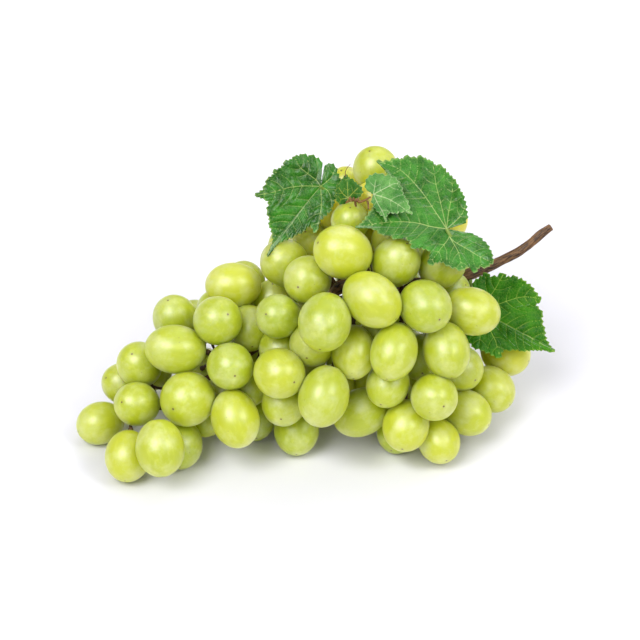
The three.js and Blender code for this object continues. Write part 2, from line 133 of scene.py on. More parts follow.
bunch = {
    "press": 0.9,          # how far touching berries flatten into each other
    "flatSpot": 0.35,      # depth of the flat under a berry that bears on the surface
    "rounds": 240,         # of settling
    "relink": 20,          # rounds between two searches for the nearest links
    "nearby": 32,          # only berries closer than this are tested
    "apart": 0.3,          # share of an overlap, gap or way home that one round takes up
    "together": 0.25,
    "offStalk": 0.5,
    "homewards": 0.25,
    "stalkGap": 0.8,       # between a berry and the stalk
    "lift": 2,             # most that a sunk berry rises in one round, along its line of sight
    "hiddenSize": (20, 23),
    # yellow berries: across, down: how yellow; the shaded ones under the leaves are set yellower, as a
    # painted glow of light shining through them
    "ripeAndLitThrough": {
        (332, 238): 0.6, (335, 212): 0.8, (350, 222): 0.1, (372, 203): 0.8, (347, 187): 0.3,
        (448, 217): 0.7, (507, 353): 0.25, (439, 441): 0.14, (491, 389): 0.12, (312, 243): 0.3,
        (366, 246): 0.2,
    },
    # pale berries: across, down: how far from deep green to middle, and on to light
    "palest": {
        (343, 253): (0.6, 0.75), (235, 285): (0.6, 0.75), (101, 424): (0.5, 0.6),
        (127, 459): (0.55, 0.5), (406, 425.5): (0.55, 0.6), (466, 412): (0.55, 0.55),
    },
    # across, down, width mm, length mm, turn of the free end in degrees from right, up positive,
    # how far the free end tips to the eye, depth behind, branch
    "seen": [
        (101, 424, 19, 22, 200, 20, -2, "tip"),
        (137, 404, 19.5, 22, 170, 55, -14, "tip"),
        (127, 459, 19, 22, 265, 20, -14, "tip"),
        (160, 448, 21.5, 25.5, 275, 10, -28, "tip"),
        (180, 444, 20, 23, 270, 30, -10, "tip"),
        (123, 384.5, 18.5, 21, 160, 40, 0, "leftUpper"),
        (139.5, 365, 20, 22.5, 120, 60, -8, "leftUpper"),
        (176, 349, 21.5, 27.5, 175, 5, -20, "leftUpper"),
        (175.5, 318.5, 20, 22.5, 110, 40, -2, "leftUpper"),
        (188, 399, 24, 26, 215, 55, -26, "leftFront"),
        (230, 366, 20.5, 23, 300, 65, -28, "leftFront"),
        (235, 418.5, 21, 26.5, 285, 10, -26, "leftFront"),
        (253, 416, 20, 23, 280, 30, -10, "leftFront"),
        (206, 414, 19, 22, 250, 40, -10, "leftFront"),
        (249, 384, 19, 22, 250, 50, -14, "leftFront"),
        (217, 321, 21.5, 22.5, 30, 60, -20, "leftTop"),
        (214, 310, 18.5, 20.5, 120, 40, -2, "leftTop"),
        (235, 285, 21, 26, 180, 5, -6, "leftTop"),
        (252, 330, 19, 22, 280, 40, -16, "leftTop"),
        (279, 317, 19.5, 21.5, 170, 60, -24, "leftTop"),
        (273, 302, 19, 21, 90, 40, 0, "leftTop"),
        (279.5, 372.5, 22, 24, 330, 50, -34, "middleFront"),
        (324, 396, 22, 27.5, 255, 10, -38, "middleFront"),
        (296.5, 429, 20, 24, 270, 20, -16, "middleFront"),
        (284, 403, 19.5, 22, 260, 50, -16, "middleFront"),
        (280, 347, 19.5, 22, 250, 50, -18, "middleFront"),
        (312, 343, 20, 22, 250, 50, -22, "middleFront"),
        (308, 279, 21, 22, 220, 60, -24, "middleTop"),
        (283.5, 263, 21.5, 24, 150, 50, -8, "middleTop"),
        (325, 322, 23, 26.5, 260, 25, -42, "middleTop"),
        (312, 243, 20, 23, 120, 60, -4, "middleTop"),
        (343, 253, 23.5, 27, 160, 30, -38, "crown"),
        (332, 238, 17, 20, 120, 50, 6, "crown"),
        (350, 222, 17, 19, 90, 50, -22, "crown"),
        (366, 246, 18, 21, 60, 50, -5, "crown"),
        (335, 212, 17, 20, 110, 50, -7, "crown"),
        (372, 203, 18, 21, 80, 50, -9, "crown"),
        (347, 187, 17, 20, 110, 40, 14, "crown"),
        (376, 169.5, 20.5, 23, 110, 40, 3, "crown"),
        (371, 299, 22.5, 28.5, 320, 20, -44, "rightFront"),
        (352, 352, 19.5, 24.5, 270, 20, -30, "rightFront"),
        (394, 351.5, 20.5, 26.5, 255, 20, -42, "rightFront"),
        (383, 330, 20, 22, 270, 50, -24, "rightFront"),
        (388, 384, 19, 22, 250, 30, -28, "rightFront"),
        (396, 262, 21, 24, 60, 40, -30, "rightTop"),
        (394, 240, 20, 22, 70, 50, -12, "rightTop"),
        (442, 265, 20, 23, 40, 40, -16, "rightTop"),
        (448, 217, 19, 22, 60, 40, -8, "rightTop"),
        (425.5, 306, 22.5, 26, 315, 50, -42, "rightTop"),
        (449, 291, 17, 20, 20, 40, -12, "rightTop"),
        (471, 311, 21, 26.5, 345, 10, -26, "rightEnd"),
        (446, 352, 20.5, 26, 280, 20, -38, "rightEnd"),
        (460, 368, 20, 22, 320, 40, -16, "rightEnd"),
        (507, 353, 20.5, 23, 340, 20, 8, "rightEnd"),
        (491, 389, 20, 23, 320, 20, 4, "rightEnd"),
        (422, 357, 20, 22, 270, 50, -20, "rightEnd"),
        (362, 412, 21, 27, 205, 10, -24, "rightLow"),
        (406, 425.5, 20.5, 24, 260, 30, -28, "rightLow"),
        (398, 431, 18.5, 21, 250, 30, -8, "rightLow"),
        (434.5, 395.5, 20.5, 22, 315, 60, -36, "rightLow"),
        (439, 441, 18.5, 21, 290, 30, -18, "rightLow"),
        (466, 412, 20, 24, 330, 20, -10, "rightLow"),
    ],
    # berries eased into their outline after they have settled: across, down, size
    "eased": {
        (214, 310): (3.5, 1, 1), (123, 384.5): (1.5, -2, 1), (283.5, 263): (1.5, 0, 0.98),
        (127, 459): (0.8, -3, 1.06), (448, 217): (-1, 5, 0.95), (235, 285): (-1.5, 0.5, 0.97),
        (-56, 12): (1, 4, 1), (376, 169.5): (0, 0.8, 1), (507, 353): (-1.5, 0, 1),
    },
    # x mm, angle about the middle of the bunch (0 to the back, 90 up), distance from it, branch
    "hidden": [
        (-77, 5, 20, "backLeft"), (-55, -38, 28, "backLeft"), (-56, 12, 30, "backLeft"),
        (-33, -52, 33, "backLeft"), (-32, -12, 34, "backLeft"), (-34, 28, 34, "backLeft"),
        (-9, -56, 38, "backMiddle"), (-9, -24, 41, "backMiddle"), (-10, 10, 42, "backMiddle"),
        (-2, 42, 41, "backMiddle"), (14, -56, 40, "backMiddle"), (14, -26, 44, "backMiddle"),
        (14, 4, 46, "backMiddle"), (13, 32, 50, "backMiddle"), (20, 60, 46, "backMiddle"),
        (38, -56, 40, "backRight"), (38, -26, 45, "backRight"), (37, 4, 46, "backRight"),
        (36, 32, 49, "backRight"), (42, 58, 44, "backRight"), (60, -40, 34, "backRight"),
        (60, -6, 37, "backRight"), (59, 28, 40, "backRight"), (66, 20, 16, "backRight"),
        (-45, -100, 30, "under"), (-22, -95, 34, "under"), (2, -95, 36, "under"),
        (25, -95, 36, "under"), (48, -90, 36, "under"), (62, -75, 20, "under"),
    ],
    # middle of the bunch: across mm, up mm, behind mm
    "middle": [(-90, -45, 0), (-68, -28, 0), (-38, -12, 0), (0, -5, 0), (40, -8, 4), (65, -12, 10)],
}

stalk = {
    # from the cut end through the bunch to its tip: across, down, behind, radius mm
    "path": [
        (550.8, 227.2, 9, 1.7), (546, 230.6, 8.5, 1.85), (540, 234.8, 8, 2.1), (532, 242, 7.5, 2.1),
        (520, 250.9, 7, 2.15), (510, 256.4, 6.5, 2.2), (500, 261.2, 6, 2.3), (490, 266, 5, 2.4),
        (480, 271, 4, 2.4), (470, 274, 3, 2.8), (458, 280, 2, 2.4), (430, 283, -1, 2.2),
        (400, 281, -4, 2.1), (370, 281, -7, 2), (343, 283, -9, 2), (322, 297, -9, 1.9),
        (295, 322, -7, 1.8), (262, 345, -6, 1.6), (225, 368, -5, 1.5), (190, 388, -5, 1.3),
        (160, 404, -4, 1.1), (128, 420, -3, 0.9),
    ],
    "knots": {14: 3.2, 15: 2.7},  # swollen where branches leave: point on the path, radius
    "lowered": (14, 1.4),         # point on the path, and how far it is moved down
    # point on the path where each branch starts, and how far towards its berries it reaches
    "branches": {
        "rightTop": (11, 0.5), "rightEnd": (11, 0.55), "rightFront": (12, 0.5), "rightLow": (12, 0.6),
        "backRight": (12, 0.6), "crown": (13, 0.6), "middleTop": (14, 0.45), "middleFront": (15, 0.55),
        "backMiddle": (15, 0.6), "under": (15, 0.5), "leftTop": (17, 0.4), "leftFront": (18, 0.5),
        "backLeft": (18, 0.5), "leftUpper": (19, 0.4), "tip": (20, 0.3),
    },
    "branchRadii": [1.5, 1.25, 1.1],
    "branchSag": 0.8,
    # pedicel: from the branch over its middle and neck to its swollen end in the berry's dimple
    "pedicelRadii": [0.8, 0.62, 0.85, 1.3, 1.15],
    "pedicelNeck": 1.1,           # lengths before and past the end of the berry
    "pedicelCollar": 0.3,
    "pedicelSunk": 0.55,
    "pedicelBow": (0.12, 1.5),    # share of its length, and the most
    "pedicelClear": 1.2,          # of berries that it passes
    "starts": 6,                  # places on a branch that a pedicel may start from
}


def reach(axis, radius, half, direction):
    along = np.sum(axis * direction, axis=-1)
    return np.sqrt(half ** 2 * along ** 2 + radius ** 2 * (1 - along ** 2))


def firstPlaces():
    rows = []
    for across, down, width, length, turn, tip, behind, branch in bunch["seen"]:
        t, p = math.radians(turn), math.radians(tip)
        axis = math.cos(p) * (math.cos(t) * right + math.sin(t) * up) - math.sin(p) * away
        at = place(across, down, behind)
        ray = (at - eye) / np.linalg.norm(at - eye)
        rows.append((at, ray, axis, width / 2, length / 2, branch))
    stations = np.array(bunch["middle"], float)
    for x, angle, far, branch in bunch["hidden"]:
        i = 0
        while i < len(stations) - 2 and x > stations[i + 1][0]:
            i += 1
        part = (x - stations[i][0]) / (stations[i + 1][0] - stations[i][0])
        row = stations[i] + (stations[i + 1] - stations[i]) * part
        a = math.radians(angle)
        axis = np.array([0.0, math.cos(a), math.sin(a)])
        at = placeMm(x, row[1], row[2])
        at[0] = x
        at = at + axis * far
        radius, half = bunch["hiddenSize"][0] / 2, bunch["hiddenSize"][1] / 2
        at[2] = max(at[2], radius)
        rows.append((at, np.zeros(3), axis, radius, half, branch))
    return rows


# the shortest set of links that joins all berries, by the width of the gap between them
def nearestLinks(at, axis, radius, half):
    count = len(at)
    taken = np.zeros(count, bool)
    bestGap = np.full(count, np.inf)
    bestFrom = np.zeros(count, int)
    taken[0] = True
    last = 0
    links = []
    for _ in range(1, count):
        direction = at - at[last]
        gap = np.linalg.norm(direction, axis=1)
        direction = direction / np.maximum(gap, 1e-9)[:, None]
        opening = gap - reach(axis, radius, half, direction)
        opening = opening - reach(axis[last], radius[last], half[last], direction)
        closer = (opening < bestGap) & ~taken
        bestGap[closer] = opening[closer]
        bestFrom[closer] = last
        last = int(np.argmin(np.where(taken, np.inf, bestGap)))
        taken[last] = True
        links.append((bestFrom[last], last))
    return np.array(links)


# Berries that cross push each other off, linked ones close up, all keep off the stalk and the surface,
# and the ones in sight stay on their line of sight
def settleBerries():
    rows = firstPlaces()
    at = np.array([row[0] for row in rows])
    home = at.copy()
    ray = np.array([row[1] for row in rows])
    axis = np.array([row[2] for row in rows])
    radius = np.array([row[3] for row in rows])
    half = np.array([row[4] for row in rows])
    inSight = np.linalg.norm(ray, axis=1) > 0.5
    path = np.array([row[:3] for row in stalk["path"]], float)
    path = place(path[:, 0], path[:, 1], path[:, 2])
    thick = [row[3] for row in stalk["path"]]
    one, two = np.triu_indices(len(at), 1)
    for rounds in range(bunch["rounds"]):
        if rounds % bunch["relink"] == 0:
            links = nearestLinks(at, axis, radius, half)
        moves = np.zeros_like(at)
        between = at[two] - at[one]
        gap = np.linalg.norm(between, axis=1)
        near = gap <= bunch["nearby"]
        a, b, gap = one[near], two[near], gap[near]
        direction = between[near] / gap[:, None]
        short = reach(axis[a], radius[a], half[a], direction)
        short = short + reach(axis[b], radius[b], half[b], direction)
        short = np.maximum(short - bunch["press"] - gap, 0)
        np.add.at(moves, a, -bunch["apart"] * short[:, None] * direction)
        np.add.at(moves, b, bunch["apart"] * short[:, None] * direction)
        a, b = links[:, 0], links[:, 1]
        direction = at[b] - at[a]
        gap = np.linalg.norm(direction, axis=1)
        direction = direction / gap[:, None]
        opening = gap - reach(axis[a], radius[a], half[a], direction)
        opening = opening - reach(axis[b], radius[b], half[b], direction)
        opening = np.maximum(opening + bunch["press"], 0)
        np.add.at(moves, a, bunch["together"] * opening[:, None] * direction)
        np.add.at(moves, b, -bunch["together"] * opening[:, None] * direction)
        for k in range(len(path) - 1):
            along = path[k + 1] - path[k]
            part = np.clip((at - path[k]) @ along / (along @ along), 0, 1)
            direction = at - (path[k] + part[:, None] * along)
            gap = np.linalg.norm(direction, axis=1)
            direction = direction / gap[:, None]
            short = reach(axis, radius, half, direction) + thick[k] + bunch["stalkGap"] - gap
            moves += bunch["offStalk"] * np.maximum(short, 0)[:, None] * direction
        at = at + moves
        off = at - home
        off -= np.sum(off * ray, axis=1)[:, None] * ray
        at = at - np.where(inSight[:, None], bunch["homewards"] * off, 0)
        lowest = reach(axis, radius, half, np.array([0.0, 0.0, 1.0])) - bunch["flatSpot"]
        sunk = at[:, 2] < lowest
        fall = np.where(inSight, ray[:, 2], -1)
        back = np.maximum((lowest - at[:, 2]) / fall, -bunch["lift"])
        at = at + np.where((sunk & inSight)[:, None], ray * back[:, None], 0)
        at[:, 2] = np.where(sunk, np.maximum(at[:, 2], lowest), at[:, 2])
    for i, row in enumerate(bunch["seen"] + bunch["hidden"]):
        across, down, size = bunch["eased"].get(row[:2], (0, 0, 1))
        at[i] += (across * right - down * up) / sight["steps"]
        radius[i] *= size
        half[i] *= size
    print("berries settled:", len(at))
    branch = [row[5] for row in rows]
    return {"at": at, "axis": axis, "radius": radius, "half": half, "branch": branch, "path": path}


berries = settleBerries()
random = np.random.default_rng(11)


# Grape skin: thin and waxy, grown, over clear flesh. Light passes through the berry and makes it glow,
# and the dusty wax spreads each highlight into a milky patch. Its colour also holds painted light: pale
# milky patches as a painted highlight, and a brightened yellow on shaded berries as a painted glow
def makeGrapeSkin():
    finish = {
        # ripe is partly the yellow of ripe berries, partly a painted glow of light through shaded ones
        "light": "#c6cd2c", "middle": "#aebb18", "deep": "#93ab10", "ripeAndGlow": "#f4e41c",
        # the pale wax colour is partly real wax and partly a painted highlight
        "bloomAndHighlight": "#eef0dc", "strand": "#d6dc58",
        "scar": "#5a3e1c", "ring": "#a3a044", "speck": "#8a8034",
    }
    m = newMaterial("waxy grape skin")
    place3d = addNode(m, "TexCoord").outputs["Object"]
    local = addNode(m, "Attribute", {"attribute_name": "berryPlace"}).outputs["Vector"]
    tint = addNode(m, "Attribute", {"attribute_name": "berryTint"}).outputs["Vector"]
    tints = addNode(m, "SeparateXYZ", Vector=tint)
    # clouds 5 mm wide in the flesh
    clouds = addNode(m, "TexNoise", Vector=place3d, Scale=200.0, Detail=3.0, Roughness=0.5)
    shade = addNode(m, "Math", {"operation": "MULTIPLY_ADD"}, i0=clouds, i1=0.7, i2=tints.outputs[0])
    ramp = addNode(m, "MapRange", i0=shade, i1=0.2, i2=1.25)
    # pale strands in the flesh, 2 mm wide, running from end to end, other ones in each berry
    drawnOut = addNode(m, "VectorMath", {"operation": "MULTIPLY"}, i0=local, i1=(5.0, 5.0, 0.9))
    offset = addNode(m, "VectorMath", {"operation": "MULTIPLY_ADD"},
                     i0=tint, i1=(60.0, 60.0, 60.0), i2=drawnOut)
    strands = addNode(m, "TexNoise", Vector=offset, Scale=1.0, Detail=3.0, Roughness=0.6)
    strandMask = addNode(m, "MapRange", i0=strands, i1=0.5, i2=0.72, i3=0.0, i4=0.3)
    # dusty wax, rubbed off in patches about 9 mm wide; its pale colour is partly real wax and partly
    # a painted milky highlight, in patches that do not follow the light
    wax = addNode(m, "TexNoise", Vector=place3d, Scale=110.0, Detail=4.0, Roughness=0.6)
    waxAndHighlightMask = addNode(m, "MapRange", i0=wax, i1=0.46, i2=0.72, i3=0.0, i4=0.3)
    # lenticels, brown specks 0.6 mm wide in cells of 4 mm, a quarter of which have one
    cells = addNode(m, "TexVoronoi", Vector=place3d, Scale=240.0)
    speckSize = addNode(m, "MapRange", i0=cells.outputs["Distance"], i1=0.05, i2=0.09, i3=1.0, i4=0.0)
    speckPick = addNode(m, "SeparateColor", Color=cells.outputs["Color"])
    speckSome = addNode(m, "Math", {"operation": "GREATER_THAN"}, i0=speckPick.outputs[0], i1=0.72)
    speckMask = addNode(m, "Math", {"operation": "MULTIPLY"}, i0=speckSize, i1=speckSome)
    speckSoft = addNode(m, "Math", {"operation": "MULTIPLY"}, i0=speckMask, i1=0.5)
    # scar of the flower at the free end, about 1 mm wide, in a paler ring of 3 mm
    fromTip = addNode(m, "VectorMath", {"operation": "DISTANCE"}, i0=local, i1=(0.0, 0.0, 1.0))
    rimMask = addNode(m, "MapRange", i0=fromTip, i1=0.05, i2=0.13, i3=0.25, i4=0.0)
    scarMask = addNode(m, "MapRange", i0=fromTip, i1=0.03, i2=0.055, i3=0.9, i4=0.0)
    # shinier where the wax is rubbed off, and a faint grain of 1 mm
    rough = addNode(m, "MapRange", i0=wax, i1=0.35, i2=0.7, i3=0.38, i4=0.56)
    grain = addNode(m, "TexNoise", Vector=place3d, Scale=900.0, Detail=3.0)
    bump = addNode(m, "Bump", Height=grain, Strength=0.06, Distance=0.0003)
    # each colour over the ones before it, from the flesh out
    colour = finish["deep"]
    for mask, name in ((ramp, "middle"), (tints.outputs[1], "light"), (tints.outputs[2], "ripeAndGlow"),
                       (strandMask, "strand"), (waxAndHighlightMask, "bloomAndHighlight"), (speckSoft, "speck"),
                       (rimMask, "ring"), (scarMask, "scar")):
        colour = addNode(m, "Mix", colourMix, i0=mask, i6=colour, i7=finish[name])
    skin = addNode(m, "BsdfPrincipled", Base_Color=colour, Roughness=rough,
                   IOR=1.38, Subsurface_Weight=1.0, Subsurface_Radius=(1.0, 0.9, 0.2),
                   Subsurface_Scale=0.014, Subsurface_Anisotropy=0.2, Coat_Weight=1.0,
                   Coat_Roughness=0.43, Coat_IOR=1.5, Sheen_Weight=0.04, Sheen_Roughness=0.3,
                   Normal=bump)
    return finishMaterial(m, skin)


grape = {
    "around": 40, "along": 28,    # faces round a berry and from end to end
    "blunt": (0.02, 0.012),       # swelling of the free end, narrowing of both ends
    "lumps": (1.3, 0.012),        # how close together, how high
    "dimple": (0.34, 0.05),       # at the pedicel: how wide, how deep
    "scar": (0.12, 0.012),        # at the free end, the same; all these are shares of the berry's size
    "flatten": 0.3,               # share of an overlap that each of two berries gives up
    "beside": 28,                 # mm between the middles of berries that may touch
    "tintSpread": (0.5, 0.55, 0.12),   # random part of deep to middle green, of light, of yellow
    "tintLeast": (0.1, 0.0, 0.0),
}


# one ball per berry: stretched along its axis, dimpled at the pedicel, flat where it meets another
# berry or the surface
def makeBerries(skin):
    names = sorted(set(berries["branch"]))
    for name in names:
        bm = bmesh.new()
        placeLayer = bm.verts.layers.float_vector.new("berryPlace")
        tintLayer = bm.verts.layers.float_vector.new("berryTint")
        for i, branch in enumerate(berries["branch"]):
            if branch != name:
                continue
            around, along = grape["around"], grape["along"]
            verts = bmesh.ops.create_uvsphere(bm, u_segments=around, v_segments=along, radius=1)["verts"]
            ball = np.array([v.co for v in verts])
            axis = berries["axis"][i]
            radius, half, at = berries["radius"][i], berries["half"][i], berries["at"][i]
            side = np.cross(axis, away)
            side /= np.linalg.norm(side)
            other = np.cross(axis, side)
            x, y, z = ball.T
            swell = 1 + grape["blunt"][0] * z - grape["blunt"][1] * z ** 2
            own = Vector((i * 7.31, 0, 0))  # a place of its own in the noise
            lumps = np.array([noise.noise(Vector(row) * grape["lumps"][0] + own) for row in ball])
            swell += grape["lumps"][1] * lumps
            rim = np.hypot(x, y)
            wide, deep = grape["dimple"]
            pit = np.where(z < 0, np.clip(1 - (rim / wide) ** 2, 0, 1) ** 2 * deep, 0)
            wide, deep = grape["scar"]
            point = np.where(z > 0, np.clip(1 - (rim / wide) ** 2, 0, 1) * deep, 0)
            shape = np.outer(x * swell * radius, side) + np.outer(y * swell * radius, other)
            shape += np.outer((z + pit - point) * half, axis)
            world = at + shape
            for j in range(len(berries["at"])):
                if j == i:
                    continue
                between = berries["at"][j] - at
                gap = np.linalg.norm(between)
                if gap > grape["beside"]:
                    continue
                direction = between / gap
                here = reach(axis, radius, half, direction)
                there = reach(berries["axis"][j], berries["radius"][j], berries["half"][j], direction)
                cross = here + there - gap
                if cross <= 0:
                    continue
                wall = here - cross * grape["flatten"]
                past = np.maximum((world - at) @ direction - wall, 0)
                world = world - np.outer(past, direction)
            world[:, 2] = np.maximum(world[:, 2], 0.0)
            tint = random.uniform(0, 1, 3) * grape["tintSpread"] + grape["tintLeast"]
            if i < len(bunch["seen"]):
                tint[2] = bunch["ripeAndLitThrough"].get(bunch["seen"][i][:2], tint[2])
                tint[:2] = bunch["palest"].get(bunch["seen"][i][:2], tint[:2])
            for v, co, local in zip(verts, toMetres(world), ball):
                v.co = co
                v[placeLayer] = local
                v[tintLayer] = tint
        addPiece("berries_" + name, bm, [skin], "berries")
    print("berries made:", len(names), "branches")


# Bark of a vine, grown: matt and brown, ridged along its length, so that it streaks light and dark;
# it is younger, greener and plainer on the branches and pedicels
def makeBark(name, dark, pale, young):
    m = newMaterial(name)
    local = addNode(m, "Attribute", {"attribute_name": "limbPlace"}).outputs["Vector"]
    tone = addNode(m, "Attribute", {"attribute_name": "limbTone"}).outputs["Fac"]
    place3d = addNode(m, "TexCoord").outputs["Object"]
    # ridges a third of the limb's radius wide and 4 mm long
    stretch = addNode(m, "VectorMath", {"operation": "MULTIPLY"}, i0=local, i1=(3.4, 3.4, 0.28))
    ridges = addNode(m, "TexNoise", Vector=stretch, Scale=1.0, Detail=5.0, Roughness=0.65)
    blotch = addNode(m, "TexNoise", Vector=place3d, Scale=260.0, Detail=3.0)  # 4 mm wide
    spread = addNode(m, "MapRange", i0=ridges, i1=0.36, i2=0.66)
    bark = addNode(m, "Mix", colourMix, i0=spread, i6=dark, i7=pale)
    patch = addNode(m, "MapRange", i0=blotch, i1=0.4, i2=0.65, i3=0.55, i4=1.0)
    grey = addNode(m, "CombineColor", i0=patch, i1=patch, i2=patch)
    shaded = addNode(m, "Mix", {**colourMix, "blend_type": "MULTIPLY"}, i0=0.6, i6=bark, i7=grey)
    green = addNode(m, "Mix", colourMix, i0=tone, i6=shaded, i7=young)
    bump = addNode(m, "Bump", Height=ridges, Strength=0.5, Distance=0.0005)
    wood = addNode(m, "BsdfPrincipled", Base_Color=green, Roughness=0.62, IOR=1.45, Normal=bump)
    return finishMaterial(m, wood)


# Cut vine wood: pale tan and dull, with grain finer than a millimetre that makes it look dry
def makeCutWood():
    m = newMaterial("cut wood")
    place3d = addNode(m, "TexCoord").outputs["Object"]
    grain = addNode(m, "TexNoise", Vector=place3d, Scale=1400.0, Detail=3.0)
    tan = addNode(m, "Mix", colourMix, i0=grain, i6="#a98250", i7="#d6b787")
    wood = addNode(m, "BsdfPrincipled", Base_Color=tan, Roughness=0.8)
    return finishMaterial(m, wood)


# evenly numbered points on the smooth curve through the given ones
def smoothPath(points, count):
    points = np.asarray(points, float)
    if len(points) == 2:
        return points[0] + (points[1] - points[0]) * np.linspace(0, 1, count)[:, None]
    padded = np.vstack([2 * points[0] - points[1], points, 2 * points[-1] - points[-2]])
    t = np.linspace(0, len(points) - 1, count)
    k = np.minimum(t.astype(int), len(points) - 2)
    f = (t - k)[:, None]
    a, b, c, d = padded[k], padded[k + 1], padded[k + 2], padded[k + 3]
    bend, twist = 2 * a - 5 * b + 4 * c - d, 3 * b - a - 3 * c + d
    return 0.5 * (2 * b + (c - a) * f + bend * f ** 2 + twist * f ** 3)


# a grid wrapped round a path: a limb with its own radius at each point, closed at both ends
def addLimb(bm, points, radii, sides, steps, tone=0.0, rough=0.0, seed=0.0, capMaterial=0):
    path = smoothPath(points, steps + 1)
    size = smoothPath(np.asarray(radii, float)[:, None], steps + 1)[:, 0]
    length = np.concatenate([[0], np.cumsum(np.linalg.norm(np.diff(path, axis=0), axis=1))])
    ahead = np.gradient(path, axis=0)
    ahead /= np.linalg.norm(ahead, axis=1)[:, None]
    side = np.cross(ahead[0], (0.3, 0.2, 1.0))
    side /= np.linalg.norm(side)
    sidesAlong = []
    for direction in ahead:
        side = side - (side @ direction) * direction
        side /= np.linalg.norm(side)
        sidesAlong.append(side)
    vectors, numbers = bm.verts.layers.float_vector, bm.verts.layers.float
    placeLayer = vectors.get("limbPlace") or vectors.new("limbPlace")
    toneLayer = numbers.get("limbTone") or numbers.new("limbTone")
    verts = bmesh.ops.create_grid(bm, x_segments=sides, y_segments=steps, size=1)["verts"]
    for v in verts:
        turn = math.pi * (v.co.x + 1)
        k = int(round((v.co.y + 1) / 2 * steps))
        other = np.cross(ahead[k], sidesAlong[k])
        round3d = math.cos(turn) * sidesAlong[k] + math.sin(turn) * other
        ridge = noise.noise(Vector((math.cos(turn) * 2.4, math.sin(turn) * 2.4, length[k] * 0.22 + seed)))
        world = path[k] + round3d * size[k] * (1 - rough * (0.5 - ridge))
        v[placeLayer] = (math.cos(turn), math.sin(turn), length[k] + seed)
        v[toneLayer] = tone
        v.co = toMetres(world)
    bmesh.ops.remove_doubles(bm, verts=verts, dist=1e-7)
    kept = [v for v in verts if v.is_valid]
    openEdges = list({e for v in kept for e in v.link_edges if e.is_boundary})
    for face in bmesh.ops.holes_fill(bm, edges=openEdges, sides=0)["faces"]:
        face.material_index = capMaterial


# the stalk with its swellings and cut end, a branch to each group of berries, and a pedicel to each berry
# that has a clear way to its branch
def makeStalk(bark, cutWood):
    bm = bmesh.new()
    path = berries["path"].copy()
    radii = [stalk["knots"].get(i, row[3]) for i, row in enumerate(stalk["path"])]
    point, drop = stalk["lowered"]
    path[point] -= drop * up
    addLimb(bm, path, radii, 20, 260, rough=0.1, capMaterial=1)
    for name, (start, far) in stalk["branches"].items():
        own = [i for i, branch in enumerate(berries["branch"]) if branch == name]
        bases = [berries["at"][i] - berries["axis"][i] * berries["half"][i] for i in own]
        root = path[start]
        tip = root + (np.mean(bases, axis=0) - root) * far
        bend = (root + tip) / 2 - np.array([0.0, 0.0, stalk["branchSag"]])
        addLimb(bm, [root, bend, tip], stalk["branchRadii"], 12, 24,
                tone=0.25, rough=0.14, seed=start * 3.7)
        for n, (i, base) in enumerate(zip(own, bases)):
            count = stalk["starts"]
            ways = [root + (tip - root) * (1 - (k + (n % 4) / 4) / count) for k in range(count)]
            ways += [path[start - 1], path[start + 1]]
            ways.sort(key=lambda way: np.linalg.norm(way - base))
            chosen = next((way for way in ways if openWay(way, base, i)), None)
            if chosen is None:
                continue
            axis = berries["axis"][i]
            neck = base - axis * stalk["pedicelNeck"]
            share, most = stalk["pedicelBow"]
            middle = (chosen + neck) / 2 - axis * min(share * np.linalg.norm(neck - chosen), most)
            collar, end = base - axis * stalk["pedicelCollar"], base + axis * stalk["pedicelSunk"]
            addLimb(bm, [chosen, middle, neck, collar, end], stalk["pedicelRadii"], 12, 22,
                    tone=0.75, rough=0.12, seed=i * 5.1)
    piece = addPiece("stalk_and_pedicels", bm, [bark, cutWood], "stalk")
    print("stalk made:", len(piece.data.polygons), "faces")


# true where a straight pedicel passes every berry but its own
def openWay(start, end, own):
    along = end - start
    at = berries["at"]
    part = np.clip((at - start) @ along / (along @ along), 0, 1)
    direction = at - (start + part[:, None] * along)
    gap = np.linalg.norm(direction, axis=1)
    free = gap - reach(berries["axis"], berries["radius"], berries["half"], direction / gap[:, None])
    clear = free > stalk["pedicelClear"]
    clear[own] = True
    return bool(clear.all())


# across, down, behind, radius mm
shoot = {
    "stem": [(346, 202.6, -27.8, 0.4), (350, 200.5, -28.8, 0.6), (355, 200.5, -29.8, 0.55),
             (360, 201.8, -31, 0.6), (366, 199.5, -32.2, 0.5), (370.5, 197, -32.8, 0.4)],
    "buds": [(350, 198.8, -29, 0.85), (353.5, 199, -29.9, 0.7), (357.5, 200.2, -30.8, 0.8)],
    "stub": [(355, 200.8, -29.5, 0.55), (355.5, 203.5, -29, 0.6), (356, 206.5, -28.4, 0.45)],
    "tip": [(366.5, 199.4, -32.2, 0.4), (368, 203, -33.4, 0.45), (368.5, 209, -35, 0.3)],
    "tendril": [(345.6, 177, -25.5, 0.22), (345.4, 172, -24.5, 0.18), (347.5, 167.5, -23.5, 0.15),
                (351, 163.5, -22.5, 0.1)],
    "sides": {"stem": (14, 60), "stub": (10, 20), "tip": (10, 24), "tendril": (8, 30)},
    "budShape": (0.85, 0.35, 1.25),  # width, how much of it the top loses, height
}


# a red-brown stem with three buds, a stub, a dry tip and a tendril, in one piece
def makeShoot(bark):
    bm = bmesh.new()
    for name, (sides, steps) in shoot["sides"].items():
        rows = np.array(shoot[name])
        addLimb(bm, place(*rows[:, :3].T), rows[:, 3], sides, steps, rough=0.18, seed=len(name))
    placeLayer = bm.verts.layers.float_vector["limbPlace"]
    width, pointed, height = shoot["budShape"]
    for across, down, behind, size in shoot["buds"]:
        made = bmesh.ops.create_uvsphere(bm, u_segments=16, v_segments=12, radius=1)
        centre = place(across, down, behind)
        for v in made["verts"]:
            v[placeLayer] = v.co
            taper = 1 - pointed * max(v.co.z, 0)
            local = np.array([v.co.x * width * taper, v.co.y * width * taper, v.co.z * height]) * size
            v.co = toMetres(centre + local[0] * right + local[1] * away + local[2] * up)
    addPiece("side_shoot_stem", bm, [bark], "side_shoot")


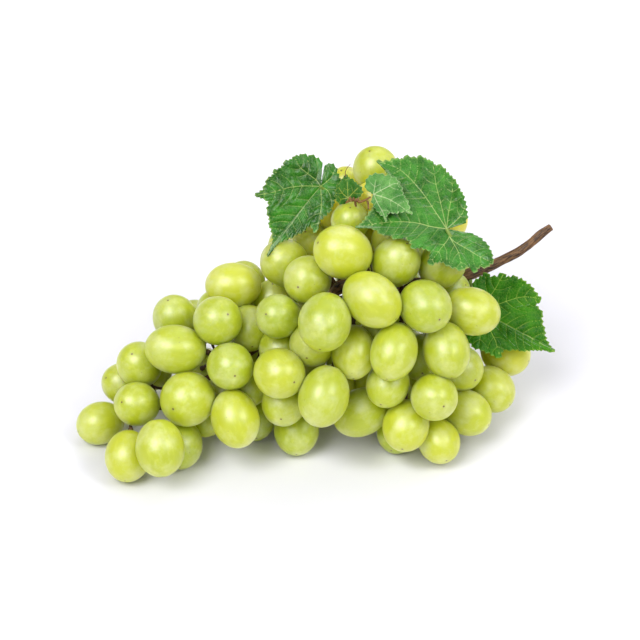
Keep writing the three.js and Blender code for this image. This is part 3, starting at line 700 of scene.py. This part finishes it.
# Leaves: outline from one side of the petiole's notch round to the other, main veins from the notch out,
# and in mm how the blade lies: depth at the notch, its rise with height and to the right, and its cup;
# then its waves, the valley along its midrib and the fold on it
leaves = {
    "leaf_left": {
        "notch": (320.5, 186.5), "depth": (-21.5, 0.16, -0.04, -0.0012),
        "wave": 0.8, "valley": 0.1, "fold": 0,
        "outline": [
            (317, 184.8), (316.8, 179), (318.3, 172), (321, 165.5), (320.5, 161), (316, 158), (311, 155),
            (308, 157), (303, 154), (299, 156), (295, 156), (292, 159), (284.5, 161), (284, 165),
            (281, 168), (273, 170.5), (274, 174), (267.5, 178.5), (266, 184), (263, 190), (254.5, 195.5),
            (262, 198), (269, 200), (267, 210), (269, 217), (269, 225), (272, 233), (274, 240),
            (267.5, 257), (272, 246), (277, 243), (283, 240), (288, 238), (293, 236), (302, 232),
            (309, 225), (311, 223.5), (313, 229), (316, 233), (317, 226), (319, 220), (323, 217),
            (327, 213), (330, 212), (333, 205), (338, 192), (341, 181), (339, 178), (337, 173),
            (335.5, 167), (331, 164), (327.5, 164.2), (325, 167), (324, 173), (323, 180),
        ],
        "veins": [
            [(305, 205), (288, 228), (274, 243), (268, 256)],
            [(305, 186), (290, 187.5), (270, 193), (256, 195.5)],
            [(316, 180), (307, 173), (300, 167), (295, 158)],
            [(321.5, 205), (319, 220), (316, 232)],
            [(327, 190), (331, 198), (331, 210)],
            [(326, 182), (332, 176), (335, 168)],
        ],
        "petiole": [(320.3, 186.2, -22.9), (324, 189.5, -20.9), (330, 195, -20.6), (336.5, 198.5, -21.8),
                    (342.6, 200.6, -25.2)],
        "petioleRadius": 0.7,
    },
    "leaf_centre": {
        "notch": (446.5, 229), "depth": (-37, 0.64, 0.15, 0),
        "wave": 0.9, "valley": 0.12, "fold": 0,
        "outline": [
            (448, 226), (455, 225), (462, 224), (466, 220), (467, 215), (466, 205), (463, 195), (457, 184),
            (453, 178.5), (450, 175.5), (443.5, 168), (438, 164.5), (436.5, 167), (431, 161), (424, 158),
            (417.5, 156), (418, 159), (411, 157.5), (404.5, 156), (404, 159), (396, 158.5), (390, 161),
            (383, 162), (376, 161), (382, 165), (387, 172), (388, 184), (385, 195), (372, 210), (368, 215),
            (365, 220), (355, 228), (362, 226.5), (370, 227), (376, 229), (381, 234), (390, 235),
            (396, 239), (405, 237), (410, 240), (411.5, 248.5), (416, 247), (425, 249), (431, 250),
            (430, 258), (428.5, 265), (435, 263), (443, 262), (449, 266), (455, 268), (462, 270),
            (470, 266), (475, 273), (477, 269), (480, 266), (487, 267), (490, 264), (493.5, 262.5),
            (492, 254), (488, 245.5), (480, 238.5), (471, 234.5), (463, 233.5), (455, 235), (450, 234),
        ],
        "veins": [
            [(436, 213), (420, 190), (400, 170), (378, 161.5)],
            [(441, 205), (436, 185), (433, 164)],
            [(449, 210), (452, 195), (452, 180)],
            [(457, 220), (463, 212), (465, 206)],
            [(432, 227), (415, 223), (395, 222), (372, 224.5), (357, 227.5)],
            [(449, 237), (440, 250), (431, 262)],
            [(450, 238), (458, 252), (462, 268)],
            [(452, 240), (465, 248), (480, 257), (491, 262)],
        ],
        "petiole": [(446.5, 229, -37.6), (451, 237, -37.5), (458, 244, -34), (467, 250, -25),
                    (474, 257, -12), (476.5, 265, -3)],
        "petioleRadius": 0.9,
    },
    "leaf_right": {
        "notch": (482, 313), "depth": (-8, 0.12, 0.12, -0.001),
        "wave": 0.8, "valley": 0.1, "fold": 0,
        "outline": [
            (477, 303), (473.5, 292), (474, 281.5), (486, 272.5), (490, 277), (497, 277), (503, 273),
            (506, 277), (515, 276), (518, 279), (523, 280), (531, 286), (534, 291), (538, 296),
            (541.5, 299),
            (537, 303), (534.5, 305.5), (539, 309), (542.5, 314), (541.5, 318), (544.5, 330), (546, 340),
            (548.5, 345), (555, 352), (548, 350), (540, 350), (532, 350), (523, 351), (514, 349),
            (507, 350), (503, 348), (501, 353), (499.5, 358), (495, 356), (490, 353), (484, 351),
            (474, 348), (468, 341), (466, 333), (476, 324),
        ],
        "veins": [
            [(498, 320), (515, 329), (535, 340), (554, 351.5)],
            [(499, 304), (522, 297), (540, 298.5)],
            [(488, 300), (497, 286), (503, 275)],
            [(490, 330), (496, 343), (499.5, 356)],
            [(481, 325), (480, 337), (479, 348)],
        ],
        "petiole": [(482, 313, -8.6), (478, 304, -5), (473, 294, -2.5), (470.5, 284, 0.5),
                    (470.3, 280.9, 2)],
        "petioleRadius": 0.9,
    },
    "young_leaf_small": {
        "notch": (348, 198), "depth": (-26, 0.12, 0, 0),
        "wave": 0.4, "valley": 0.1, "fold": 0.5, "crinkle": 0.55,
        "outline": [
            (352, 198.5), (356, 197.5), (359, 196.5), (361, 195), (362, 190), (360, 186), (357.5, 184.5),
            (355, 182), (350, 179), (348, 177), (345.5, 174.5), (344.5, 177), (343, 178), (341.5, 180.5),
            (340, 183), (337, 188), (336, 193), (336, 198), (338, 202), (342, 204), (345, 201.5),
        ],
        "veins": [
            [(347.5, 190), (347, 182), (345.6, 175.5)],
            [(353, 193), (357, 189), (360, 187)],
            [(343, 194), (340, 190), (338, 187)],
            [(343, 199), (338, 200)],
        ],
    },
    "young_leaf_pale": {
        "notch": (373.5, 194.5), "depth": (-33, 0.75, -0.03, 0),
        "wave": 0.5, "valley": 0.15, "fold": 0.25, "crinkle": 0.85,
        "outline": [
            (371, 192), (367, 190), (366, 184), (368, 178), (372, 175.5), (378, 174), (385, 176),
            (392, 177), (397, 180), (400, 185), (402, 191), (405, 198), (408, 204), (412, 215),
            (405, 211), (400, 211),
            (395, 213), (387, 213), (385.5, 222), (384, 216), (380, 213), (377, 209), (374, 205),
            (372.5, 200),
        ],
        "veins": [
            [(388, 199), (400, 206), (411, 214)],
            [(384, 189), (394, 184), (399, 184)],
            [(378, 204), (383, 213), (385.5, 221)],
            [(375, 186), (377, 176)],
        ],
    },
}
# lengths across the picture are in steps, heights and thickness in mm
leafDetail = {
    "edgeStep": 0.95,             # between points of the edge
    "rings": 80,                  # from the notch to the edge, half as many in a young leaf
    "toothWidth": 5,
    "toothDepth": 0.42,           # share of its width
    "toothPeak": 0.66,            # share of its width at which it is highest
    "toothCurve": 1.3,
    "edgeSag": 0.35,              # how far the edge draws in between two points of the outline
    "sideStep": 9.5,              # between side veins
    "sideRange": (0.8, 0.95),     # first one in side steps, last one in shares of the main vein
    "sideVary": (0.9, 0.2),       # shorter steps, and what every other one is longer
    "sideReach": (0.5, 7),        # share of the rest of the main vein, and what is added
    "sideOut": ((0.55, 0.83), (0.74, 0.75)),  # along and away from the main vein: at first, at the end
    "sideWeight": 0.5,            # of a side vein beside a main one
    "veinWidth": (0.07, 0.11),    # half width at no weight, and what full weight adds
    "veinTaper": 0.72,
    "veinStrength": (0.35, 0.65),  # at no weight, and what full weight adds
    "thickness": 0.36,
    "pucker": 0.6,                # how far the blade bulges between its veins
    "puckerWidth": 1.3,
    "valleyWidth": 9,             # at the sides of the valley
    "crinkle": (0.16, 0.3),       # how close together, how high
}


# how far behind the notch's plane a point of the blade lies
def bladeDepth(leaf, across, down):
    x = (across - leaf["notch"][0]) / sight["steps"]
    y = (leaf["notch"][1] - down) / sight["steps"]
    start, rise, side, cup = leaf["depth"]
    turn, far = np.arctan2(y, x), np.hypot(x, y)
    folded = leaf["fold"] * np.abs(x) * np.minimum(far / 4, 1)
    wave = leaf["wave"] * np.sin(5 * turn) * np.minimum(far / 20, 1)
    return start + rise * y + side * x + cup * far * far + wave - folded


# points along the edge, with small teeth that lean along it
def fineOutline(leaf):
    rows = np.array(leaf["outline"], float)
    notch = np.array(leaf["notch"])
    peak = leafDetail["toothPeak"]
    fine = []
    for a, b in zip(rows[:-1], rows[1:]):
        length = np.linalg.norm(b - a)
        teeth = max(1, round(length / leafDetail["toothWidth"]))
        count = max(3, math.ceil(length / leafDetail["edgeStep"] / teeth)) * teeth
        deep = leafDetail["toothDepth"] * min(length / teeth, leafDetail["toothWidth"])
        out = np.array([b[1] - a[1], a[0] - b[0]]) / length
        if out @ ((a + b) / 2 - notch) < 0:
            out = -out
        for k in range(count):
            part = k / count
            along = (part * teeth) % 1
            rise = along / peak if along < peak else (1 - along) / (1 - peak)
            sag = leafDetail["edgeSag"] * math.sin(math.pi * part) if teeth > 1 else 0
            fine.append(a + (b - a) * part + out * deep * (rise ** leafDetail["toothCurve"] - sag))
    fine.append(rows[-1])
    return np.array(fine)


# side veins leave a main vein in pairs and bend towards its tip
def allVeins(leaf):
    mains = [smoothPath([leaf["notch"]] + vein, 40) for vein in leaf["veins"]]
    lines = [(path, 1.0) for path in mains]
    (startOn, startOut), (endOn, endOut) = leafDetail["sideOut"]
    (first, last), (shorter, longer) = leafDetail["sideRange"], leafDetail["sideVary"]
    share, more = leafDetail["sideReach"]
    for own, path in enumerate(mains):
        length = np.concatenate([[0], np.cumsum(np.linalg.norm(np.diff(path, axis=0), axis=1))])
        whole = length[-1]
        others = np.vstack([other[4:] for n, other in enumerate(mains) if n != own])
        start = leafDetail["sideStep"] * first
        n = 0
        while start < whole * last:
            at, ahead = (np.array([np.interp(far, length, path[:, side]) for side in (0, 1)])
                         for far in (start, start + 3))
            ahead = ahead - at
            ahead = ahead / max(np.linalg.norm(ahead), 1e-6)
            for hand in (-1, 1):
                out = np.array([-ahead[1], ahead[0]]) * hand
                far = share * (whole - start) + more
                bend = at + (ahead * startOn + out * startOut) * far * 0.5
                line = smoothPath([at, bend, at + (ahead * endOn + out * endOut) * far], 22)
                toOwn = np.linalg.norm(line[:, None] - path[None], axis=2).min(axis=1)
                toOther = np.linalg.norm(line[:, None] - others[None], axis=2).min(axis=1)
                crossed = toOther < toOwn * 0.9  # nearly as near to another main vein
                stop = int(np.argmax(crossed)) if crossed.any() else len(line)
                if stop > 3:
                    lines.append((line[:stop], leafDetail["sideWeight"]))
            n += 1
            start += leafDetail["sideStep"] * (shorter + longer * (n % 2))
    return lines


# for each point of the blade, how much of a vein it is, and how far in mm from the nearest one,
# a thin vein counted as farther off
def veinCloseness(points, lines):
    best = np.zeros(len(points))
    apart = np.full(len(points), 99.0)
    (thin, wider), (faint, stronger) = leafDetail["veinWidth"], leafDetail["veinStrength"]
    for path, weight in lines:
        count = len(path) - 1
        for k in range(count):
            a, b = path[k], path[k + 1]
            along = b - a
            part = np.clip((points - a) @ along / max(along @ along, 1e-9), 0, 1)
            far = np.linalg.norm(points - (a + part[:, None] * along), axis=1) / sight["steps"]
            taper = 1 - leafDetail["veinTaper"] * (k + part) / count
            half = (thin + wider * weight) * taper
            best = np.maximum(best, np.exp(-0.7 * (far / half) ** 2) * (faint + stronger * weight))
            apart = np.minimum(apart, far / (0.5 + 0.5 * weight))
    return best, apart


# a fan of rings from the notch to the toothed edge, bulged between its veins, and its petiole
def makeLeaf(name, materials):
    leaf = leaves[name]
    edge = fineOutline(leaf)
    lines = allVeins(leaf)
    rings = leafDetail["rings"] if name.startswith("leaf") else leafDetail["rings"] // 2
    around = len(edge) - 1
    bm = bmesh.new()
    veinLayer = bm.verts.layers.float.new("vein")
    rimLayer = bm.verts.layers.float.new("rim")
    verts = bmesh.ops.create_grid(bm, x_segments=around, y_segments=rings, size=1)["verts"]
    grid = np.array([v.co[:2] for v in verts])
    k = np.rint((grid[:, 0] + 1) / 2 * around).astype(int)
    out = np.clip((grid[:, 1] + 1) / 2, 0, 1)
    notch = np.array(leaf["notch"])
    flat = notch + (edge[k] - notch) * out[:, None]
    mask, apart = veinCloseness(flat, lines)
    ribEnd = np.array(leaf["veins"][0][-1], float)
    rib = (ribEnd - notch) / np.linalg.norm(ribEnd - notch)
    aside = np.abs((flat - notch) @ np.array([-rib[1], rib[0]])) / sight["steps"]
    depth = bladeDepth(leaf, *flat.T) - leaf["valley"] * (np.hypot(aside, 2) - leafDetail["valleyWidth"])
    scale = leaf.get("crinkle", 1.0)
    raised = leafDetail["pucker"] * scale * (1 - np.exp(-apart / leafDetail["puckerWidth"]))
    raised = raised * np.minimum(1, (1 - out) * 6 + 0.25)  # less at the edge
    close, high = leafDetail["crinkle"]
    crinkle = np.array([noise.noise(Vector((x * close, y * close, 3.0))) for x, y in flat]) * high * scale
    world = place(*flat.T, depth - raised + crinkle)
    for v, co, vein, rim in zip(verts, toMetres(world), mask, out):
        v.co = co
        v[veinLayer] = vein
        v[rimLayer] = rim
    bmesh.ops.remove_doubles(bm, verts=verts, dist=2e-6)
    bmesh.ops.recalc_face_normals(bm, faces=bm.faces)
    towards = Vector(-away)
    if sum(f.normal.dot(towards) * f.calc_area() for f in bm.faces) < 0:
        bmesh.ops.reverse_faces(bm, faces=bm.faces)
    piece = addPiece(name + "_blade", bm, materials, name)
    solid = piece.modifiers.new("thickness", "SOLIDIFY")
    solid.thickness = leafDetail["thickness"] * 0.001
    solid.offset = 0
    solid.material_offset = 1
    solid.material_offset_rim = 0
    if "petiole" in leaf:
        stem = bmesh.new()
        rows = np.array(leaf["petiole"])
        size = leaf["petioleRadius"]
        radii = [size * 0.8] + [size] * (len(rows) - 2) + [size * 1.15]
        addLimb(stem, place(*rows.T), radii, 14, 70, tone=1.0, rough=0.1, seed=len(name))
        addPiece(name + "_petiole", stem, [petioleSkin], name)
    print("leaf made:", name, len(piece.data.polygons), "faces")


# Vine leaf: a thin grown blade, satin green and crinkled between pale veins, which catches broad soft
# highlights; paler and duller underneath, and downy and greyer when young
def makeLeafSkin(name, dark, light, vein, rough, gloss, sheen=0.0, glow=0.12):
    m = newMaterial(name)
    place3d = addNode(m, "TexCoord").outputs["Object"]
    veinFac = addNode(m, "Attribute", {"attribute_name": "vein"}).outputs["Fac"]
    rim = addNode(m, "Attribute", {"attribute_name": "rim"}).outputs["Fac"]
    # blotches 7 mm wide
    blotch = addNode(m, "TexNoise", Vector=place3d, Scale=140.0, Detail=4.0, Roughness=0.55)
    spread = addNode(m, "MapRange", i0=blotch, i1=0.35, i2=0.68)
    # net of fine veins 1.3 mm apart, a pale rim, and the veins themselves
    net = addNode(m, "TexVoronoi", {"feature": "DISTANCE_TO_EDGE"}, Vector=place3d, Scale=760.0)
    netMask = addNode(m, "MapRange", i0=net.outputs["Distance"], i1=0.0, i2=0.1, i3=0.12, i4=0.0)
    rimMask = addNode(m, "MapRange", i0=rim, i1=0.965, i2=1.0, i3=0.0, i4=0.4)
    veinMask = addNode(m, "MapRange", i0=veinFac, i1=0.05, i2=0.95, i3=0.0, i4=0.85)
    roughness = addNode(m, "MapRange", i0=blotch, i1=0.3, i2=0.7, i3=rough - 0.06, i4=rough + 0.08)
    fine = addNode(m, "TexNoise", Vector=place3d, Scale=1500.0, Detail=3.0)  # grain under 1 mm
    low = addNode(m, "Bump", Height=fine, Strength=0.15, Distance=0.0002)
    bump = addNode(m, "Bump", Height=net, Strength=0.4, Distance=0.0004, Normal=low)
    colour = dark
    for mask, over in ((spread, light), (netMask, vein), (rimMask, vein), (veinMask, vein)):
        colour = addNode(m, "Mix", colourMix, i0=mask, i6=colour, i7=over)
    skin = addNode(m, "BsdfPrincipled", Base_Color=colour, Roughness=roughness, IOR=1.43,
                   Specular_IOR_Level=gloss, Subsurface_Weight=glow, Subsurface_Radius=(0.6, 1.0, 0.25),
                   Subsurface_Scale=0.001, Sheen_Weight=sheen, Sheen_Roughness=0.5, Normal=bump)
    return finishMaterial(m, skin)


grapeSkin = makeGrapeSkin()
makeBerries(grapeSkin)
stalkBark = makeBark("vine bark", "#240f06", "#9a6e40", "#402a12")
makeStalk(stalkBark, makeCutWood())
makeShoot(makeBark("young shoot bark", "#5c3716", "#a87b3c", "#8d7b3a"))
petioleSkin = makeBark("petiole skin", "#6b6a2c", "#98963f", "#7f9a3e")
leafTop = makeLeafSkin("vine leaf upper side", "#124e02", "#358418", "#b8cc74", 0.34, 0.24)
# the centre leaf's upper side: its gloss is real, and its greens are lighter than the other leaves' as
# painted light that falls on this leaf
glossyLitTop = makeLeafSkin("glossy lit vine leaf upper side", "#1e5e0a", "#3f8e26", "#bccf7c", 0.33, 0.3)
leafUnder = makeLeafSkin("vine leaf underside", "#5c8550", "#7fa36c", "#b9cb93", 0.6, 0.3)
brightTop = makeLeafSkin("bright vine leaf upper side", "#1e5e02", "#3a8009", "#b0cc58", 0.46, 0.14)
youngTop = makeLeafSkin("young vine leaf", "#1f5c0c", "#3c8020", "#b4c050", 0.45, 0.25)
palePelt = makeLeafSkin("downy young leaf", "#2c741c", "#66a34a", "#ccdda6", 0.5, 0.3, sheen=0.2)
makeLeaf("leaf_left", [leafTop, leafUnder])
makeLeaf("leaf_centre", [glossyLitTop, leafUnder])
makeLeaf("leaf_right", [brightTop, leafUnder])
makeLeaf("young_leaf_small", [youngTop, leafUnder])
makeLeaf("young_leaf_pale", [palePelt, palePelt])


# White sheet of matt paper under the bunch
def makeFloor():
    m = newMaterial("white backdrop paper")
    paper = addNode(m, "BsdfPrincipled", Base_Color="#eeedf6", Roughness=0.9)
    finishMaterial(m, paper)
    bm = bmesh.new()
    bmesh.ops.create_grid(bm, x_segments=1, y_segments=1, size=6)
    mesh = bpy.data.meshes.new("backdrop")
    bm.to_mesh(mesh)
    bm.free()
    mesh.materials.append(m)
    floor = bpy.data.objects.new("backdrop", mesh)
    bpy.context.scene.collection.objects.link(floor)


# turn and height of each light in degrees, turn from the front to the right; spread is its width in
# degrees; a shine only makes highlights
lights = {
    "key": {"turn": -36, "height": 50, "spread": 34, "strength": 1.8},
    "fill": {"turn": 58, "height": 44, "spread": 24, "strength": 1.0},
    "front": {"turn": 0, "height": 60, "spread": 80, "strength": 0.45},
    "back": {"turn": 150, "height": 48, "spread": 50, "strength": 0.95},
    "shineLeft": {"turn": -44, "height": 52, "spread": 30, "strength": 2.6},
    "shineRight": {"turn": 56, "height": 44, "spread": 24, "strength": 1},
    "room": {"colour": "#ffffff", "strength": 0.34},
}


# even light from soft boxes: one left and one right of the eye, one above it, one behind, in a white room
def makeLights():
    for name in ("key", "fill", "front", "back", "shineLeft", "shineRight"):
        row = lights[name]
        lamp = bpy.data.lights.new(name, "SUN")
        lamp.energy = row["strength"]
        lamp.angle = math.radians(row["spread"])
        turn, height = math.radians(row["turn"]), math.radians(row["height"])
        level = math.cos(height)
        towards = Vector((math.sin(turn) * level, -math.cos(turn) * level, math.sin(height)))
        holder = bpy.data.objects.new(name, lamp)
        holder.rotation_euler = towards.to_track_quat("Z", "Y").to_euler()
        holder.location = towards
        holder.visible_diffuse = not name.startswith("shine")
        bpy.context.scene.collection.objects.link(holder)
    world = bpy.data.worlds.new("studio")
    world.use_nodes = True
    background = world.node_tree.nodes["Background"]
    background.inputs["Color"].default_value = toLinear(lights["room"]["colour"])
    background.inputs["Strength"].default_value = lights["room"]["strength"]
    bpy.context.scene.world = world


def makeCamera():
    lens = bpy.data.cameras.new("camera")
    lens.sensor_width = sight["sensor"]
    lens.lens = sight["sensor"] * sight["distance"] / (sight["frame"] / sight["steps"])
    lens.clip_end = sight["farthest"]
    camera = bpy.data.objects.new("camera", lens)
    camera.location = toMetres(eye)
    camera.rotation_euler = (math.pi / 2 - tilt, 0, 0)
    bpy.context.scene.collection.objects.link(camera)
    bpy.context.scene.camera = camera


makeFloor()
makeLights()
makeCamera()
bpy.context.scene.view_settings.view_transform = "Standard"
